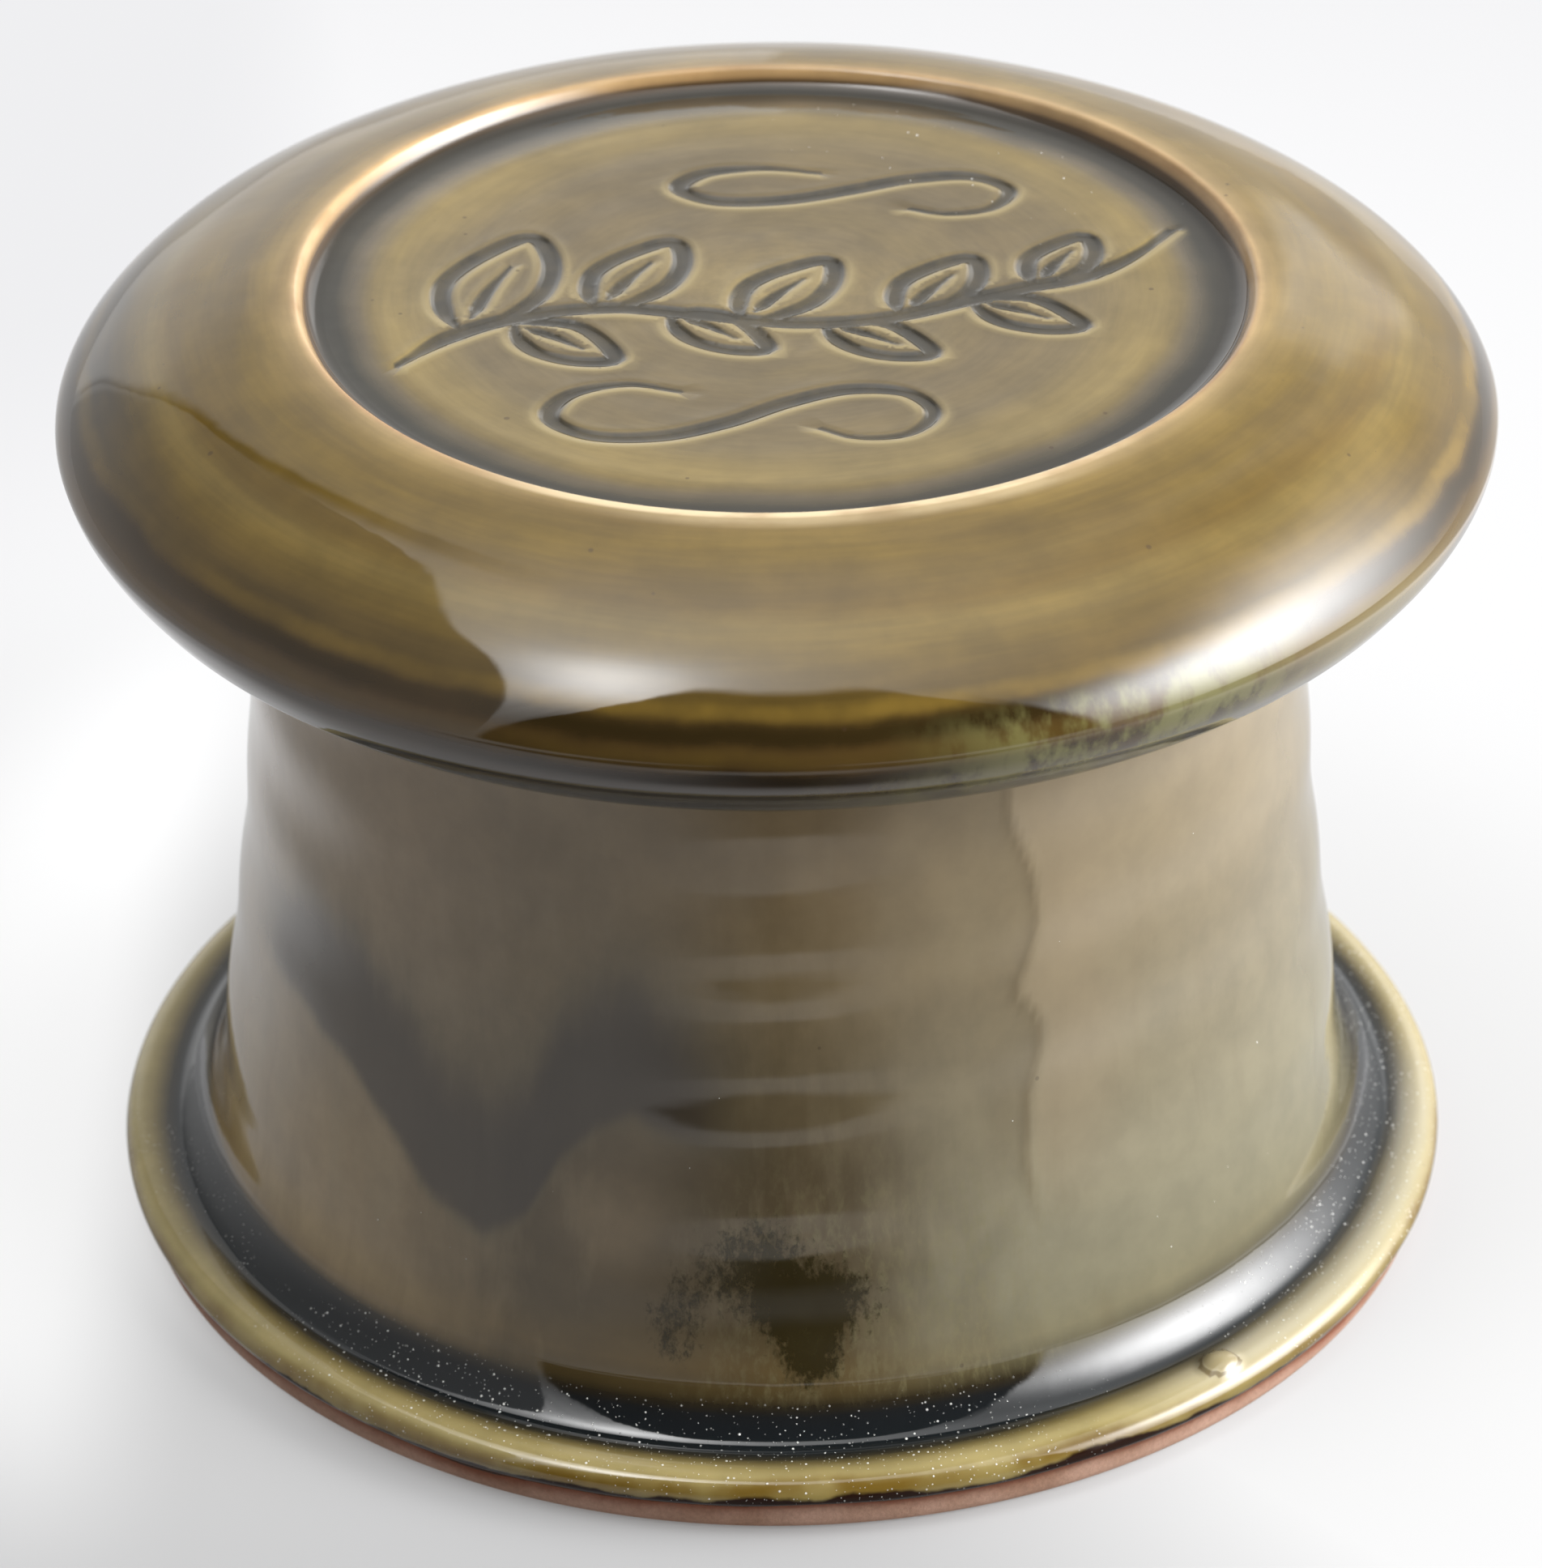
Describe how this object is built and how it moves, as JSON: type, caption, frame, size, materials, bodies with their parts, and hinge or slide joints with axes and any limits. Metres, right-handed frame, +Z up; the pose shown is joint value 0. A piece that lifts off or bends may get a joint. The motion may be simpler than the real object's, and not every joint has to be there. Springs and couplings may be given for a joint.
{
  "type": "butter crock",
  "caption": "Low water-seal butter crock in glazed stoneware: waisted pot on a flared foot, with a wide lid whose hanging cup holds the butter over water.",
  "frame": {"origin": "centre of the plane the foot stands on", "axes": "+Z up along the axis the pieces were thrown about; -Y faces the viewer of the incised sprig"},
  "size_m": [0.12, 0.12, 0.086],
  "materials": {
    "pot_glaze": "gloss olive-brown glaze, pooled near-black in the foot groove, bare clay at the table line",
    "lid_glaze": "gloss olive-gold glaze, breaking to pale tan on the crest",
    "bell_glaze": "gloss olive glaze, bare clay at the mouth"
  },
  "bodies": {
    "crock": {"crock_body": "pot_glaze"},
    "lid": {"lid_cap": "lid_glaze", "butter_bell": "bell_glaze"}
  },
  "joints": [
    {"name": "lid_lift", "type": "slide", "parent": "crock", "child": "lid", "axis": [0, 0, 1], "range_m": [0, 0.08]}
  ]
}
